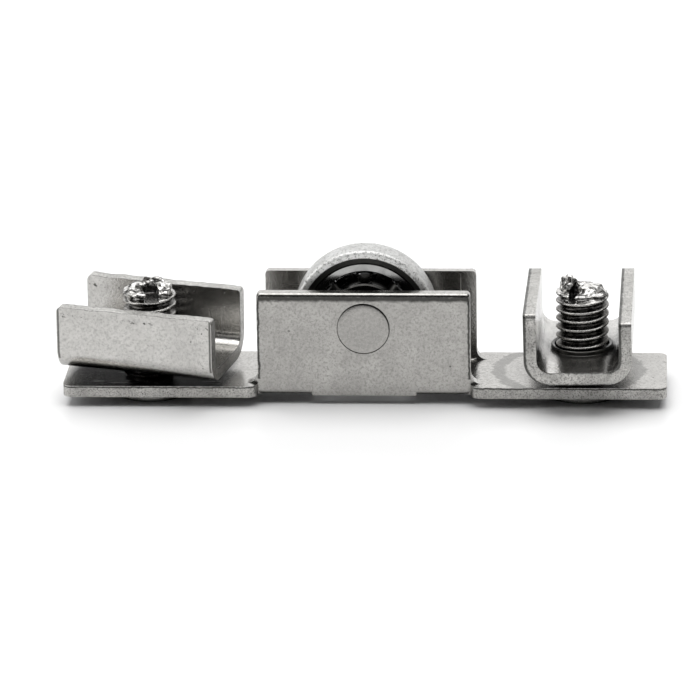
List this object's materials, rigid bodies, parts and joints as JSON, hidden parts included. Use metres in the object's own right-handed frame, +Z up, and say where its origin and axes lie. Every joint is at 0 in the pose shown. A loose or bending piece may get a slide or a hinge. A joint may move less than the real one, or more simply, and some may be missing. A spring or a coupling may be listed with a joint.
{
  "type": "sliding door roller",
  "caption": "Steel sliding door roller: wheel on an open ball bearing riveted into a folded strip bracket, with threaded saddle clips on adjusting screws at both ends.",
  "frame": {"origin": "on the resting plane under the screw heads, straight below the wheel's axle", "axes": "+X along the strip to the clip that stands across it, +Y towards the rear wall along the axle, +Z up to the wheel's tread"},
  "size_m": [0.0674, 0.0182, 0.0168],
  "materials": {
    "plated_steel": "bright nickel plate with a faint satin mottle",
    "turned_steel": "turned and plated, satin tread",
    "bearing_steel": "ground bearing steel, lightly oiled",
    "ball_steel": "polished",
    "screw_steel": "zinc-plated rolled thread, darker in the roots"
  },
  "bodies": {
    "frame": {"bracket": "plated_steel", "axle_rivet": "plated_steel", "front_spacer": "bearing_steel", "rear_spacer": "bearing_steel", "bearing_inner_race": "bearing_steel"},
    "wheel": {"wheel_tyre": "turned_steel", "bearing_outer_race": "bearing_steel"},
    "ball_set": {"front_cage_ribbon": "bearing_steel", "rear_cage_ribbon": "bearing_steel", "ball_1": "ball_steel", "ball_2": "ball_steel", "ball_3": "ball_steel", "ball_4": "ball_steel", "ball_5": "ball_steel", "ball_6": "ball_steel", "ball_7": "ball_steel"},
    "left_screw": {"left_adjusting_screw": "screw_steel"},
    "right_screw": {"right_adjusting_screw": "screw_steel"},
    "left_clip": {"left_saddle_clip": "plated_steel"},
    "right_clip": {"right_saddle_clip": "plated_steel"}
  },
  "joints": [
    {"name": "wheel_spin", "type": "hinge", "parent": "frame", "child": "wheel", "pos_m": [0, 0, 0.00881], "axis": [0, 1, 0], "continuous": true},
    {"name": "ball_set_orbit", "type": "hinge", "parent": "frame", "child": "ball_set", "pos_m": [0, 0, 0.00881], "axis": [0, 1, 0], "continuous": true},
    {"name": "left_screw_turn", "type": "hinge", "parent": "frame", "child": "left_screw", "pos_m": [-0.024, 0, 0], "axis": [0, 0, 1], "range_deg": [-1980.5, 180.5]},
    {"name": "left_clip_travel", "type": "slide", "parent": "frame", "child": "left_clip", "axis": [0, 0, 1], "range_m": [-0.0005, 0.0055]},
    {"name": "right_screw_turn", "type": "hinge", "parent": "frame", "child": "right_screw", "pos_m": [0.024, 0, 0], "axis": [0, 0, 1], "range_deg": [-1800.5, 360.5]},
    {"name": "right_clip_travel", "type": "slide", "parent": "frame", "child": "right_clip", "axis": [0, 0, 1], "range_m": [-0.001, 0.005]}
  ],
  "couplings": [
    {"joint": "ball_set_orbit", "follows": "wheel_spin", "ratio": 0.61579},
    {"joint": "left_screw_turn", "follows": "left_clip_travel", "rad_per_m": -6283.2},
    {"joint": "right_screw_turn", "follows": "right_clip_travel", "rad_per_m": -6283.2}
  ]
}
